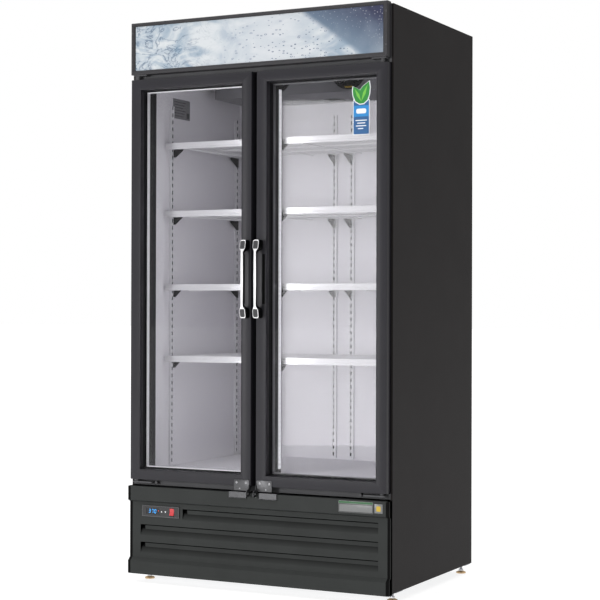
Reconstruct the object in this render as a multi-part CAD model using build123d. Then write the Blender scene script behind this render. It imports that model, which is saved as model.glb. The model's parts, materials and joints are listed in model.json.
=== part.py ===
from build123d import *
import math
import os

# Two-door upright glass door merchandiser, millimetres.
# X runs left to right, Y runs from the front to the back, Z is up from the floor.
# The shapes are drawn with Y = 0 on the front plane of the doors, header and lower panel,
# and export_nodes moves them back so that the origin is the middle of the footprint.

# ---- driving dimensions ---------------------------------------------------
cabinet_width = 1000.0
cabinet_front = 29.0            # front face of the cabinet, behind the door fronts
cabinet_back = 748.0
cabinet_bottom = 35.0
cabinet_top = 1955.0
skin = 1.5                      # outer and inner sheet

front_width = 982.0             # doors and header
door_gap = 19.0                 # between the two doors
door_bottom = 361.5
door_top = 1761.5
stile = 39.0                    # frame width at the sides
rail = 37.0                     # frame width at top and bottom
door_depth = 56.0               # frame thickness
glass_front = 29.0              # front face of the insulated glass
pane = 3.0
pane_gap = 17.0

header_bottom = 1778.5
header_top = 1960.0
header_side = 14.0              # width of the rim at the sides
header_rim_low = 14.5
header_rim_high = 11.5
header_face = 3.0               # thickness of the header's front
lamp_y = 17.0                   # tubes behind the sign
lamp_end = 455.0
grille_bottom = 31.0
grille_top = 337.5

cavity_half = 450.0             # inside half width
cavity_front = 100.0
cavity_back = 706.0
cavity_floor = 392.0
cavity_ceiling = 1895.0
opening_top = 1730.0            # top edge of the door opening

post_half = 40.0                # centre post behind the doors
post_back = 132.0
shelf_heights = [789.0, 1044.0, 1306.0, 1549.0]
shelf_front = 150.0
shelf_back = 690.0
band_drop = 20.0                # how far a shelf's front band hangs
deck_drop = 9.0                 # shelf surface to the top of its clips

hinge_inset = 21.0              # hinge axis, in from the door's outer edge
hinge_y = 14.0                  # hinge axis, behind the door's front plane
hinge_pin_radius = 4.0
running_clearance = 0.05

foot_x = 470.0
foot_ys = {"front": 98.0, "rear": 720.0}
foot_stem_radius = 5.0

gland_flange = 5.0              # power inlet flange, behind the cabinet's back

# ---- worked out from those ------------------------------------------------
half = cabinet_width / 2
door_outer = front_width / 2                  # |x| of the doors' outer edges
door_inner = door_gap / 2                     # |x| of the doors' inner edges
return_edge = door_outer + 2.0                # inner face of the side panel's return
recess_back = 62.0                            # sealing face behind the doors
hinge_x = door_outer - hinge_inset
foam_bottom = 345.0                           # underside of the insulated floor
lintel_top = opening_top + 45.0
inner_skin = half - skin
upright = (Align.CENTER, Align.CENTER, Align.MIN)   # stands on its base

nodes = {}


def block(x, y, z):
    """A box between two limits on each axis."""
    size = (x[1] - x[0], y[1] - y[0], z[1] - z[0])
    centre = ((x[0] + x[1]) / 2, (y[0] + y[1]) / 2, (z[0] + z[1]) / 2)
    return Pos(*centre) * Box(*size)


def rod(radius, start, end):
    """A round bar from one point to another."""
    a = Vector(*start)
    b = Vector(*end)
    plane = Plane(origin=a, z_dir=(b - a).normalized())
    return plane * Cylinder(radius, (b - a).length, align=(Align.CENTER, Align.CENTER, Align.MIN))


def hinge_rod(radius, low, high):
    """A round bar on the left door's hinge axis."""
    return rod(radius, (-hinge_x, hinge_y, low), (-hinge_x, hinge_y, high))


def group(solids):
    """Separate solids kept together in one node."""
    flat = []
    for solid in solids:
        flat.extend(solid.solids())
    return Compound(children=flat)


def both_sides(shape):
    """The shape and its mirror image about the cabinet's middle."""
    return [shape, mirror(shape, Plane.YZ)]


# ---- cabinet --------------------------------------------------------------
def side_panel():
    """Left outer skin, with a front face that returns into the door recess."""
    sheet = block((-half, -half + skin), (cabinet_front, cabinet_back), (cabinet_bottom, cabinet_top))
    face = block((-half, -return_edge), (cabinet_front, cabinet_front + skin),
                 (cabinet_bottom, cabinet_top))
    inner = block((-return_edge - skin, -return_edge), (cabinet_front, recess_back),
                  (grille_top, cabinet_top))
    foot_flange = block((-half, -half + 20), (cabinet_front + 12, cabinet_back - 12),
                        (cabinet_bottom, cabinet_bottom + skin))
    return sheet + face + inner + foot_flange


def make_shell():
    """Sheet steel outside, the face over the doors and the sill below them."""
    nodes["side_panels"] = group(both_sides(side_panel()))
    nodes["top_panel"] = block((-return_edge, return_edge), (cabinet_front, cabinet_back - skin),
                               (cabinet_top - skin, cabinet_top))
    nodes["back_panel"] = block((-inner_skin, inner_skin), (cabinet_back - skin, cabinet_back),
                                (foam_bottom, cabinet_top))

    above = block((-return_edge, return_edge), (cabinet_front, cabinet_front + skin),
                  (door_top + 2, cabinet_top - skin))
    soffit = block((-return_edge, return_edge), (cabinet_front, recess_back),
                   (door_top + 2, door_top + 2 + skin))
    sill = block((-return_edge, return_edge), (cabinet_front, recess_back),
                 (grille_top + 4, door_bottom - 2))
    sill -= block((-return_edge + skin, return_edge - skin), (cabinet_front + skin, recess_back),
                  (grille_top + 4 + skin, door_bottom - 2 - skin))
    nodes["front_frame"] = group([above + soffit, sill])


def make_base():
    """Chassis tray under the machine space, with a plate over each foot."""
    tray_x = half - 21
    front = cabinet_front + 10
    back = cabinet_back - 10
    tray = block((-tray_x, tray_x), (front, back), (cabinet_bottom, cabinet_bottom + 3))
    for y in (front, back - 3):
        tray += block((-tray_x, tray_x), (y, y + 3), (cabinet_bottom, cabinet_bottom + 28))
    plates = []
    for x in (-foot_x, foot_x):
        for y in foot_ys.values():
            tray -= Pos(x, y, cabinet_bottom) * Cylinder(8, 30)
            plate = block((x - 26, x + 26), (y - 26, y + 26), (cabinet_bottom - 4, cabinet_bottom))
            plate += Pos(x, y, cabinet_bottom - 9) * extrude(RegularPolygon(10, 6), 5)
            bore = Pos(x, y, cabinet_bottom) * Cylinder(foot_stem_radius + running_clearance, 60)
            plates.append(plate - bore)
    nodes["base_frame"] = group([tray] + plates)


def make_feet():
    """Four levelling feet: a domed disc, a nut and a stem that slides in the plate's bore."""
    disc_radius = 18.0
    foot = Cylinder(disc_radius, 5, align=upright)
    foot += Pos(0, 0, 5) * Cone(disc_radius, 7, 4, align=upright)
    foot += Pos(0, 0, 9) * extrude(RegularPolygon(9.5, 6), 6)
    foot += Cylinder(foot_stem_radius, 66, align=upright)
    for row, y in foot_ys.items():
        nodes["foot_%s_left" % row] = Pos(-foot_x, y, 0) * foot
        nodes["foot_%s_right" % row] = Pos(foot_x, y, 0) * foot


def make_insulation_and_liner():
    """Foam walls between the outer skins and the white inner liner."""
    liner_out = cavity_half + skin
    foam_height = (foam_bottom, cabinet_top - skin)
    foam_back = cabinet_back - skin
    liner_depth = (cavity_front, cavity_back + skin)
    wall = block((-inner_skin, -liner_out), (cavity_front, foam_back), foam_height)
    nose = block((-inner_skin, -return_edge - skin), (cabinet_front + skin, cavity_front), foam_height)
    back = block((-liner_out, liner_out), (cavity_back + skin, foam_back), foam_height)
    ceiling = block((-liner_out, liner_out), liner_depth, (cavity_ceiling + skin, cabinet_top - skin))
    floor = block((-liner_out, liner_out), liner_depth, (foam_bottom, cavity_floor - skin))
    brow = block((-return_edge, return_edge), (cabinet_front + skin, cavity_front),
                 (lintel_top, cabinet_top - skin))
    nodes["insulation"] = group(both_sides(wall + nose) + [back, ceiling, floor, brow])

    # Liner: five flat walls, and a sixth above the door opening.
    inside = (-cavity_half, cavity_half)
    liner_height = (cavity_floor - skin, cavity_ceiling + skin)
    side = block((-liner_out, -cavity_half), liner_depth, liner_height)
    rear = block(inside, (cavity_back, cavity_back + skin), liner_height)
    bottom = block(inside, (cavity_front, cavity_back), (cavity_floor - skin, cavity_floor))
    top = block(inside, (cavity_front, cavity_back), (cavity_ceiling, cavity_ceiling + skin))
    front = block(inside, (cavity_front, cavity_front + skin), (opening_top, cavity_ceiling))
    nodes["inner_liner"] = group(both_sides(side) + [rear, bottom, top, front])


def make_opening():
    """Black breaker strips around the door opening, the centre post and its lamps."""
    depth = (recess_back, cavity_front)
    inside = (-cavity_half, cavity_half)
    side = block((-return_edge, -cavity_half), depth, (foam_bottom, lintel_top))
    sill = block(inside, depth, (foam_bottom, cavity_floor))
    lintel = block(inside, depth, (opening_top, lintel_top))
    mullion = block((-post_half + 2, post_half - 2), depth, (cavity_floor, opening_top))
    nodes["breaker_frame"] = group(both_sides(side) + [sill, lintel, mullion])

    post = block((-post_half, post_half), (cavity_front, post_back), (cavity_floor, opening_top))
    nodes["mullion_post"] = fillet(post.edges().filter_by(Axis.Z).group_by(Axis.Y)[-1], 6)

    bar = block((-post_half - 5, -post_half), (cavity_front + 4, cavity_front + 18),
                (cavity_floor + 20, opening_top - 20))
    bar = fillet(bar.edges().filter_by(Axis.Z).group_by(Axis.X)[0], 3)
    tubes = []
    for z in (header_bottom + 48, header_top - 50):
        tubes.append(rod(6, (-lamp_end, lamp_y, z), (lamp_end, lamp_y, z)))
    nodes["led_lamps"] = group(both_sides(bar) + tubes)


# ---- header ---------------------------------------------------------------
def make_header():
    """Light box over the doors, with a printed sign behind its rim."""
    outer = block((-door_outer, door_outer), (0, cabinet_front), (header_bottom, header_top))
    outer = fillet(outer.edges().filter_by(Axis.X).group_by(Axis.Y)[0], 2)
    space = block((-door_outer + skin, door_outer - skin), (header_face, cabinet_front - skin),
                  (header_bottom + skin, header_top - skin))
    window = block((-door_outer + header_side, door_outer - header_side), (-1, header_face + 1),
                   (header_bottom + header_rim_low, header_top - header_rim_high))
    box = outer - space - window
    wire_z = header_bottom + 92
    for x in (-lamp_end, lamp_end):
        box -= block((x - 8, x + 8), (lamp_y + 3, cabinet_front + 1), (wire_z - 4, wire_z + 4))
    nodes["header_box"] = box
    nodes["header_sign"] = block((-door_outer + 5, door_outer - 5), (header_face, header_face + 3),
                                 (header_bottom + 5, header_top - 5))


def make_screws():
    """Screws in the header's side bars and round the rear panels."""
    screws = []
    bar_x = door_outer - header_side / 2
    for z in (header_bottom + 39, header_top - 34):
        screws += both_sides(rod(3.2, (bar_x, -1.2, z), (bar_x, 0, z)))
    rear_x = half - 12
    for z in (58, 200, 330, 360, 760, 1160, 1560, 1940):
        screws += both_sides(rod(4, (rear_x, cabinet_back, z), (rear_x, cabinet_back + 2, z)))
    nodes["outside_screws"] = group(screws)


# ---- lower panel ----------------------------------------------------------
recess_y = 14.0                 # face of the panel between its two bands
band_low = 75.0                 # top of the lower band
band_high = 288.0               # bottom of the upper band
sheet = 2.0
louver_half = 456.0
louver_bases = [104.5, 166.0, 228.0]
louver_height = 37.5
bezel_x = (-447.0, -297.0)
bezel_z = (233.0, 271.0)


def panel_profile(inset):
    """Side profile of the lower panel; inset moves it back by the sheet thickness."""
    low = grille_bottom + inset
    high = grille_top - inset
    front = inset
    middle = recess_y + inset
    lower = band_low - inset
    upper = band_high + inset
    back = cabinet_front - 1 + inset * 3
    points = [(back, low), (front, low), (front, lower), (middle, lower + 13),
              (middle, upper - 6), (front, upper), (front, high), (back, high)]
    return make_face(Polyline(*points, close=True))


def louver(base, length):
    """A blade that leans back from the panel's face in two slopes."""
    front = [(recess_y, base), (recess_y + 8, base + 20), (recess_y + 17, base + 30)]
    back = [(y + sheet, z) for y, z in reversed(front)]
    return extrude(Plane.YZ * make_face(Polyline(*front, *back, close=True)), length)


def make_grille():
    """Lower front panel: two raised bands with three inward louvers between them."""
    outer = extrude(Plane.YZ * panel_profile(0), half, both=True)
    outer = fillet(outer.edges().filter_by(Axis.Z).group_by(Axis.Y)[0], 9)
    inner = extrude(Plane.YZ * panel_profile(sheet), half - sheet, both=True)
    panel = outer - inner
    for base in louver_bases:
        # The top louver stops short of the controller.
        left = bezel_x[1] + 12 if base == louver_bases[-1] else -louver_half
        panel -= block((left, louver_half), (recess_y - 1, recess_y + 4), (base, base + louver_height))
        panel += Pos(left, 0, 0) * louver(base, louver_half - left)
    panel -= block((bezel_x[0] + 3, bezel_x[1] - 3), (recess_y - 1, recess_y + 4),
                   (bezel_z[0] + 3, bezel_z[1] - 3))
    nodes["grille_panel"] = panel


control_z = 252.0
display_x = (-430.0, -376.0)
key_xs = {"key_up": -367.0, "key_down": -351.0}
key_radius = 4.0
rocker_x = -326.0
rocker_width = 17.0
rocker_height = 24.0
rocker_tilt = 9.0


def make_controls():
    """Temperature controller: bezel, display, two keys and a rocker switch."""
    front = recess_y - 4
    bezel = block(bezel_x, (front, recess_y), bezel_z)
    bezel = fillet(bezel.edges().filter_by(Axis.Y), 3)
    bezel += block((bezel_x[0] + 3.3, bezel_x[1] - 3.3), (recess_y, recess_y + 16),
                   (bezel_z[0] + 3.3, bezel_z[1] - 3.3))
    display_z = (control_z - 11, control_z + 11)
    bezel -= block(display_x, (front - 1, front + 3), display_z)
    nodes["controller_display"] = block(display_x, (front + 1, front + 3), display_z)
    for name, x in key_xs.items():
        bezel -= rod(key_radius + 0.3, (x, front - 1, control_z), (x, front + 10, control_z))
        key = rod(key_radius, (x, front - 1.2, control_z), (x, front + 7, control_z))
        nodes[name] = fillet(key.edges().group_by(Axis.Y)[0], 0.6)
    well_x = (rocker_x - rocker_width / 2 - 0.5, rocker_x + rocker_width / 2 + 0.5)
    well_z = (control_z - rocker_height / 2 - 1.5, control_z + rocker_height / 2 + 1.5)
    bezel -= block(well_x, (front - 1, front + 12), well_z)
    nodes["controller_bezel"] = bezel
    nodes["power_rocker"] = make_rocker(front)


def make_rocker(front):
    """Rocker cap with a shallow V front, resting on its upper stop."""
    reach = rocker_height / 2
    points = [(-5.5, -reach), (-2.5, 0), (-5.5, reach), (0, reach), (4, 5), (4, -5), (0, -reach)]
    face = make_face(Polyline(*points, close=True))
    cap = extrude(Plane.YZ * face, rocker_width / 2, both=True)
    return Pos(rocker_x, front + 3, control_z) * Rot(-rocker_tilt, 0, 0) * cap


def make_badge():
    """Blank name plate on the top band and a blank data plate on the left inner wall."""
    badge = block((320, 445), (-1.5, 0), (295, 333))
    badge = fillet(badge.edges().filter_by(Axis.Y), 2)
    data_plate = block((-cavity_half, -cavity_half + 0.8), (212, 330), (1650, 1722))
    nodes["badge_plate"] = group([badge, data_plate])


# ---- doors ----------------------------------------------------------------
def ring(width_inset, height_inset, wall, y):
    """Four bars that make a rectangle inside the left door's outline."""
    x0 = -door_outer + width_inset
    x1 = -door_inner - width_inset
    z0 = door_bottom + height_inset
    z1 = door_top - height_inset
    bars = [
        block((x0, x0 + wall), y, (z0, z1)),
        block((x1 - wall, x1), y, (z0, z1)),
        block((x0 + wall, x1 - wall), y, (z0, z0 + wall)),
        block((x0 + wall, x1 - wall), y, (z1 - wall, z1)),
    ]
    return group(bars)


def door_frame():
    """Left door's frame: four mitred extrusions with a pocket for the glass."""
    body = block((-door_outer, -door_inner), (0, door_depth), (door_bottom, door_top))
    body = chamfer(body.edges().group_by(Axis.Y)[0], 3)
    front_hole = block((-door_outer + stile, -door_inner - stile), (-1, glass_front + 1),
                       (door_bottom + rail, door_top - rail))
    pocket = block((-door_outer + 26, -door_inner - 26), (glass_front, door_depth - 3),
                   (door_bottom + 24, door_top - 24))
    rear_hole = block((-door_outer + 33, -door_inner - 33), (door_depth - 4, door_depth + 1),
                      (door_bottom + 31, door_top - 31))
    body -= front_hole
    body -= pocket
    body -= rear_hole
    inner_edges = []
    for edge in body.edges().group_by(Axis.Y)[0]:
        centre = edge.center()
        inside_x = -door_outer + stile - 1 < centre.X < -door_inner - stile + 1
        inside_z = door_bottom + rail - 1 < centre.Z < door_top - rail + 1
        if inside_x and inside_z:
            inner_edges.append(edge)
    body = chamfer(inner_edges, 3)

    pin = hinge_pin_radius + running_clearance
    body -= hinge_rod(pin, door_bottom - 1, door_bottom + 23)
    body -= hinge_rod(pin, door_top - 23, door_top + 1)

    # Split along the mitres: two stiles and two rails.
    reach = 60.0
    x = (-door_outer, -door_inner)
    z = (door_bottom, door_top)
    in_x = (x[0] + reach, x[1] - reach)
    in_z = (z[0] + reach, z[1] - reach)
    left = [(x[0], z[0]), (in_x[0], in_z[0]), (in_x[0], in_z[1]), (x[0], z[1])]
    right = [(x[1], z[0]), (in_x[1], in_z[0]), (in_x[1], in_z[1]), (x[1], z[1])]
    low = [(x[0], z[0]), (x[1], z[0]), (in_x[1], in_z[0]), (in_x[0], in_z[0])]
    high = [(x[0], z[1]), (x[1], z[1]), (in_x[1], in_z[1]), (in_x[0], in_z[1])]
    pieces = []
    for outline in (left, right, low, high):
        face = make_face(Polyline(*outline, close=True))
        wedge = extrude(Plane.XZ * face, -door_depth - 2)
        pieces.append(body & (Pos(0, -1, 0) * wedge))
    return group(pieces)


def door_panes():
    """Two panes of the insulated glass unit."""
    x = (-door_outer + 27, -door_inner - 27)
    z = (door_bottom + 25, door_top - 25)
    front = block(x, (glass_front, glass_front + pane), z)
    rear_y = glass_front + pane + pane_gap
    rear = block(x, (rear_y, rear_y + pane), z)
    return group([front, rear])


def door_hasp():
    """Steel plate with a folded ear for a padlock, and two screws, on the left door."""
    inner = -14.5
    plate = block((inner - 58, inner), (-2, 0), (345, 382))
    plate = fillet(plate.edges().filter_by(Axis.Y), 3)
    ear = block((inner, inner + 2), (-24, -1), (326, 368))
    ear -= Pos(0, -14, 337) * Rot(0, 90, 0) * Cylinder(4.5, 60)
    screws = []
    for x in (inner - 48, inner - 12):
        screws.append(rod(3.5, (x, -3.4, 372), (x, -2, 372)))
    return group([plate + ear] + screws)


handle_x = 25.0
handle_z = 1060.0
handle_half = 131.5
handle_reach = 39.0             # strap front, ahead of the door
strap_half = 5.5
pad_half = 12.0
trim = 1.6


def handle_side(front_offset, back_open):
    """Side outline of the pull in the YZ plane, above its middle."""
    f = -handle_reach + front_offset
    points = [(f, 0), (f, 90), (f + 3, 100), (f + 8, 128), (f + 10, handle_half), (0, handle_half)]
    if back_open:
        points += [(0, 100), (-8, 98), (-24, 90), (-29, 82), (-29, 0)]
    else:
        points += [(0, 0)]
    return points


def handle_front():
    """Front outline: a narrow strap that swells into a pad at each end."""
    upper = [(strap_half, 0), (strap_half, 92), (pad_half, 106), (pad_half, 126),
             (pad_half - 4, handle_half)]
    points = upper + [(-x, z) for x, z in reversed(upper)]
    face = make_face(Polyline(*points, close=True))
    full = face + mirror(face, Plane.XZ)
    return extrude(Plane.XZ * full, 60)


def handle_solid(points):
    """Extrude a half side outline and its mirror across the width of the pull."""
    face = make_face(Polyline(*points, close=True))
    full = face + mirror(face, Plane.XZ)
    return extrude(Plane.YZ * full, 20, both=True)


def make_handle():
    """Bridge pull for the left door: dark body, and bright trim with a window in each pad."""
    outline = handle_front()
    body = handle_solid(handle_side(trim, True)) & outline
    shell = handle_solid(handle_side(0, False)) - handle_solid(handle_side(trim, False))
    bright = shell & outline
    windows = []
    for side in (1, -1):
        points = [(-9.5, side * 127), (9.5, side * 127), (9.5, side * 108), (0, side * 97),
                  (-9.5, side * 108)]
        face = make_face(Polyline(*points, close=True))
        windows.append(extrude(Plane.XZ * face, 60))
    for window in windows:
        bright -= window
    place = Pos(-handle_x, 0, handle_z)
    return place * body, place * bright


def make_doors():
    parts = {
        "frame": door_frame(),
        "panes": door_panes(),
        "spacer": ring(36, 33, 12, (glass_front + pane, glass_front + pane + pane_gap)),
        "gasket": ring(hinge_inset + 0.5, 22, 12, (door_depth, recess_back - 0.4)),
        "hasp": door_hasp(),
    }
    body, bright = make_handle()
    parts["handle"] = body
    parts["handle_trim"] = bright
    for name, shape in parts.items():
        nodes["left_door_" + name] = shape
        nodes["right_door_" + name] = group([mirror(solid, Plane.YZ) for solid in shape.solids()])


# ---- hinges and hasp brackets --------------------------------------------
bracket_low = 350.0             # underside of the lower hinge plate
bracket_outer = door_outer - 7  # |x| of the brackets' outer ends


def make_brackets():
    """Hinge brackets with their pins, and the cabinet's half of the hasp."""
    collar = 7.0
    reach = 20.0                    # of each pin into its door
    bracket_high = bracket_low + 5
    outline = (-bracket_outer, -bracket_outer + 80)
    low_plate = block(outline, (3, cabinet_front), (bracket_low, bracket_high))
    low_plate += block(outline, (cabinet_front - 2.5, cabinet_front), (bracket_low - 8.5, bracket_high))
    low_plate = fillet(low_plate.edges().filter_by(Axis.Z).group_by(Axis.Y)[0], 6)
    low_plate += hinge_rod(collar, bracket_high, door_bottom - 0.5)
    low_plate += hinge_rod(hinge_pin_radius, bracket_high, door_bottom + reach)
    bolt_x = -bracket_outer + 92
    tension_bolt = rod(5, (bolt_x, 12, bracket_low + 2), (bolt_x, cabinet_front, bracket_low + 2))

    top_z = header_bottom - 4
    top_plate = block((-bracket_outer, -bracket_outer + 52), (5, cabinet_front), (top_z, header_bottom))
    top_plate += hinge_rod(collar, door_top + 0.5, top_z)
    top_plate += hinge_rod(hinge_pin_radius, door_top - reach, top_z)
    nodes["hinge_brackets"] = group(both_sides(low_plate) + both_sides(top_plate)
                                    + both_sides(tension_bolt))

    leaf_x = (-91, -25)
    leaf_low = 319.0
    leaf_high = grille_top + 2.5
    leaf = block(leaf_x, (-4, cabinet_front), (leaf_high - 2, leaf_high))
    leaf += block(leaf_x, (-4, -2), (leaf_low, leaf_high))
    leaf += block(leaf_x, (-7, -2), (leaf_low, leaf_low + 2))
    nodes["hasp_brackets"] = group(both_sides(leaf))


# ---- interior -------------------------------------------------------------
pilaster_width = 21.0
pilaster_depth = 8.0
slot_pitch = 25.4
centre_pilaster_x = 36.0        # on the back wall
front_pilaster_x = 18.0         # on the back of the centre post
side_pilaster_ys = (198.0, 676.0)


def pilaster(width, depth, height):
    """Slotted standard, standing on its back face at the origin and facing +X."""
    bar = block((0, depth), (-width / 2, width / 2), (0, height))
    slots = []
    for index in range(int((height - 40) / slot_pitch)):
        z = 30 + index * slot_pitch
        slots.append(block((depth - 3, depth + 1), (-3, 3), (z - 7, z + 7)))
    return bar - Compound(children=slots)


def make_pilasters():
    low = cavity_floor + 6
    height = 1690 - low
    bar = pilaster(pilaster_width, pilaster_depth, height)
    bars = []
    for y in side_pilaster_ys:
        bars += both_sides(Pos(-cavity_half, y, low) * bar)
    facing_front = Rot(0, 0, -90) * bar
    bars += both_sides(Pos(-centre_pilaster_x, cavity_back, low) * facing_front)
    facing_back = Rot(0, 0, 90) * bar
    bars += both_sides(Pos(-front_pilaster_x, post_back, low) * facing_back)
    nodes["pilasters"] = group(bars)


def gusset(x, root, tip, top):
    """A clip that reaches along Y from the pilaster at root to its tip."""
    face = make_face(Polyline((root, top), (tip, top), (tip, top - 5), (root, top - 30), close=True))
    return Pos(x, 0, 0) * extrude(Plane.YZ * face, 2, both=True)


def make_clips():
    """Shelf clips: a gusset under each shelf corner."""
    side = -cavity_half + pilaster_depth
    back = cavity_back - pilaster_depth
    front = post_back + pilaster_depth
    reach = 30.0
    clips = []
    for height in shelf_heights:
        top = height - deck_drop
        below_band = height - band_drop - 2
        for y in side_pilaster_ys:
            clips += both_sides(Pos(0, y, 0) * Rot(0, 0, -90) * gusset(0, side, side + reach, top))
        clips += both_sides(gusset(-centre_pilaster_x, back, back - reach, top))
        clips += both_sides(gusset(-front_pilaster_x, front, front + reach, below_band))
    nodes["shelf_clips"] = group(clips)


def shelf(height):
    """Left wire shelf: one grid of bars with a turned-down front band."""
    outer = -cavity_half + pilaster_depth + 2
    inner = -5.0
    width = inner - outer
    depth = shelf_back - shelf_front
    columns = 24
    rows = 4
    pitch_x = (width - 6) / columns
    pitch_y = (depth - 6) / rows
    thickness = 6.0
    deck = Rectangle(width, depth)
    deck -= GridLocations(pitch_x, pitch_y, columns, rows) * Rectangle(pitch_x - 4, pitch_y - 6)
    middle = Pos((outer + inner) / 2, (shelf_front + shelf_back) / 2, height - thickness)
    grid = middle * extrude(deck, thickness)
    return grid + block((outer, inner), (shelf_front - 3, shelf_front), (height - band_drop, height + 2))


def make_shelves():
    for number, height in enumerate(shelf_heights):
        nodes["shelf_row_%d" % (number + 1)] = group(both_sides(shelf(height)))


# ---- evaporator in the roof of the cavity --------------------------------
evap_front = 430.0
evap_low = 1738.0
evap_half = 400.0
evap_fan_x = 150.0
evap_fan_z = 1815.0
evap_fan_radius = 62.0
shaft_radius = 4.0              # of every fan


def fan(radius, hub, depth, reach):
    """Axial fan about +Y with five slanted blades, on a shaft that runs back to reach."""
    count = 5
    rotor = Rot(90, 0, 0) * Cylinder(hub, depth)
    rotor += rod(shaft_radius, (0, 0, 0), (0, reach, 0))
    blade = Pos((radius + hub) / 2 - 2, 0, 0) * Rot(31, 0, 0) * Box(radius - hub + 2, 1.6, radius * 0.62)
    blade &= Rot(90, 0, 0) * Cylinder(radius, 4 * depth)
    for index in range(count):
        rotor += Rot(0, index * 360 / count, 0) * blade
    return rotor


def motor_body(radius, x, z, front, back, reach):
    """A round fan motor with a running bore for the fan's shaft."""
    body = rod(radius, (x, front, z), (x, back, z))
    return body - rod(shaft_radius + running_clearance, (x, front - 1, z), (x, reach + 1, z))


def coil(x, y, z, fins, slot_depth, margins):
    """A block with fin slots cut into its front and back; margins move the slots' ends in Z."""
    core = block(x, y, z)
    pitch = (x[1] - x[0]) / fins
    slot_half = pitch * 0.35
    tall = (z[0] + margins[0], z[1] + margins[1])
    slots = []
    for index in range(fins):
        middle = x[0] + (index + 0.5) * pitch
        wide = (middle - slot_half, middle + slot_half)
        slots.append(block(wide, (y[0] - 1, y[0] + slot_depth), tall))
        slots.append(block(wide, (y[1] - slot_depth, y[1] + 1), tall))
    return core - Compound(children=slots)


def make_evaporator():
    """Cover with two fans in its face, their motors and the finned coil behind them."""
    tall = (evap_low, cavity_ceiling)
    cover = block((-evap_half, evap_half), (evap_front, evap_front + skin), tall)
    cover += block((-evap_half, evap_half), (evap_front, cavity_back), (evap_low, evap_low + skin))
    for x in (-evap_half, evap_half - skin):
        cover += block((x, x + skin), (evap_front, cavity_back), tall)
    for x in (-evap_fan_x, evap_fan_x):
        cover -= rod(evap_fan_radius + 6, (x, evap_front - 5, evap_fan_z), (x, evap_front + 5, evap_fan_z))
    for x in (-evap_half + 50, 0, evap_half - 50):
        cover -= block((x - 35, x + 35), (600, 660), (evap_low - 1, evap_low + 3))
    nodes["evaporator_cover"] = cover

    rotor_y = evap_front + 22
    shaft_end = rotor_y + 28
    arm_y = evap_front + 50
    motors = []
    for name, x in (("evaporator_fan_left", -evap_fan_x), ("evaporator_fan_right", evap_fan_x)):
        rotor = fan(evap_fan_radius, 20, 16, shaft_end - rotor_y)
        nodes[name] = Pos(x, rotor_y, evap_fan_z) * rotor
        motor = motor_body(24, x, evap_fan_z, evap_front + 36, evap_front + 76, shaft_end)
        for angle in (45, 135, 225, 315):
            dx = math.cos(math.radians(angle))
            dz = math.sin(math.radians(angle))
            near = 18.0
            far = evap_fan_radius + 14
            motor += rod(3, (x + near * dx, arm_y, evap_fan_z + near * dz),
                         (x + far * dx, arm_y, evap_fan_z + far * dz))
            motor += rod(4, (x + far * dx, arm_y + 5, evap_fan_z + far * dz),
                         (x + far * dx, evap_front + skin, evap_fan_z + far * dz))
        motors.append(motor)
    nodes["evaporator_motors"] = group(motors)
    nodes["evaporator_coil"] = coil((-330, 330), (545, 665), (1770, 1870), 33, 35, (-1, 1))


# ---- machine space --------------------------------------------------------
floor_z = cabinet_bottom + 3    # top of the chassis tray


def make_condenser():
    """Finned coil behind the louvers, its hood, and a fan on a motor held by four rods."""
    coil_x = (-40.0, 330.0)
    coil_z = (floor_z, 300.0)
    coil_back = 135.0
    hood_back = 190.0
    nodes["condenser_coil"] = coil(coil_x, (75, coil_back), coil_z, 37, 20, (8, -8))

    x = (coil_x[0] + coil_x[1]) / 2
    z = (coil_z[0] + coil_z[1]) / 2
    radius = 112.0
    hood = block(coil_x, (coil_back, hood_back), coil_z)
    hood -= block((coil_x[0] + skin, coil_x[1] - skin), (coil_back - 1, hood_back - skin),
                  (coil_z[0] + skin, coil_z[1] - skin))
    hood -= rod(radius + 6, (x, hood_back - 10, z), (x, hood_back + 10, z))

    rotor_y = hood_back + 6
    shaft_end = rotor_y + 44
    nodes["condenser_fan"] = Pos(x, rotor_y, z) * fan(radius, 32, 24, shaft_end - rotor_y)
    motor = motor_body(38, x, z, rotor_y + 26, rotor_y + 96, shaft_end)
    arm_y = shaft_end + 12
    for rod_x in (x - 30, x + 30):
        for rod_z in (z - 124, z + 124):
            motor += rod(4, (rod_x, arm_y, z), (rod_x, arm_y, rod_z))
            motor += rod(5, (rod_x, arm_y + 6, rod_z), (rod_x, hood_back - skin, rod_z))
    nodes["condenser_shroud"] = group([hood, motor])


def make_compressor():
    """Hermetic compressor on a foot plate, with its terminal cover."""
    x, y = -240.0, 520.0
    radius = 80.0
    grommet = 8.0                   # height of the soft mounts under the plate
    plate_top = floor_z + grommet + 3
    body = block((x - 110, x + 110), (y - 75, y + 75), (floor_z + grommet, plate_top))
    body += Pos(x, y, plate_top) * Cylinder(radius, 130, align=upright)
    body += Pos(x, y, plate_top + 130) * scale(Sphere(radius), (1, 1, 0.55))
    body += block((x + 60, x + 104), (y - 28, y + 28), (floor_z + 60, floor_z + 130))
    solids = [body]
    for dx in (-92, 92):
        for dy in (-58, 58):
            solids.append(Pos(x + dx, y + dy, floor_z) * Cylinder(9, grommet, align=upright))
    nodes["compressor"] = group(solids)


def tube(points, bend, radius):
    """A round pipe along straight runs joined by arcs."""
    path = FilletPolyline(*points, radius=bend)
    start = path @ 0
    direction = path % 0
    section = Plane(origin=start, z_dir=direction) * Circle(radius)
    return sweep(section, path=path)


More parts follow.
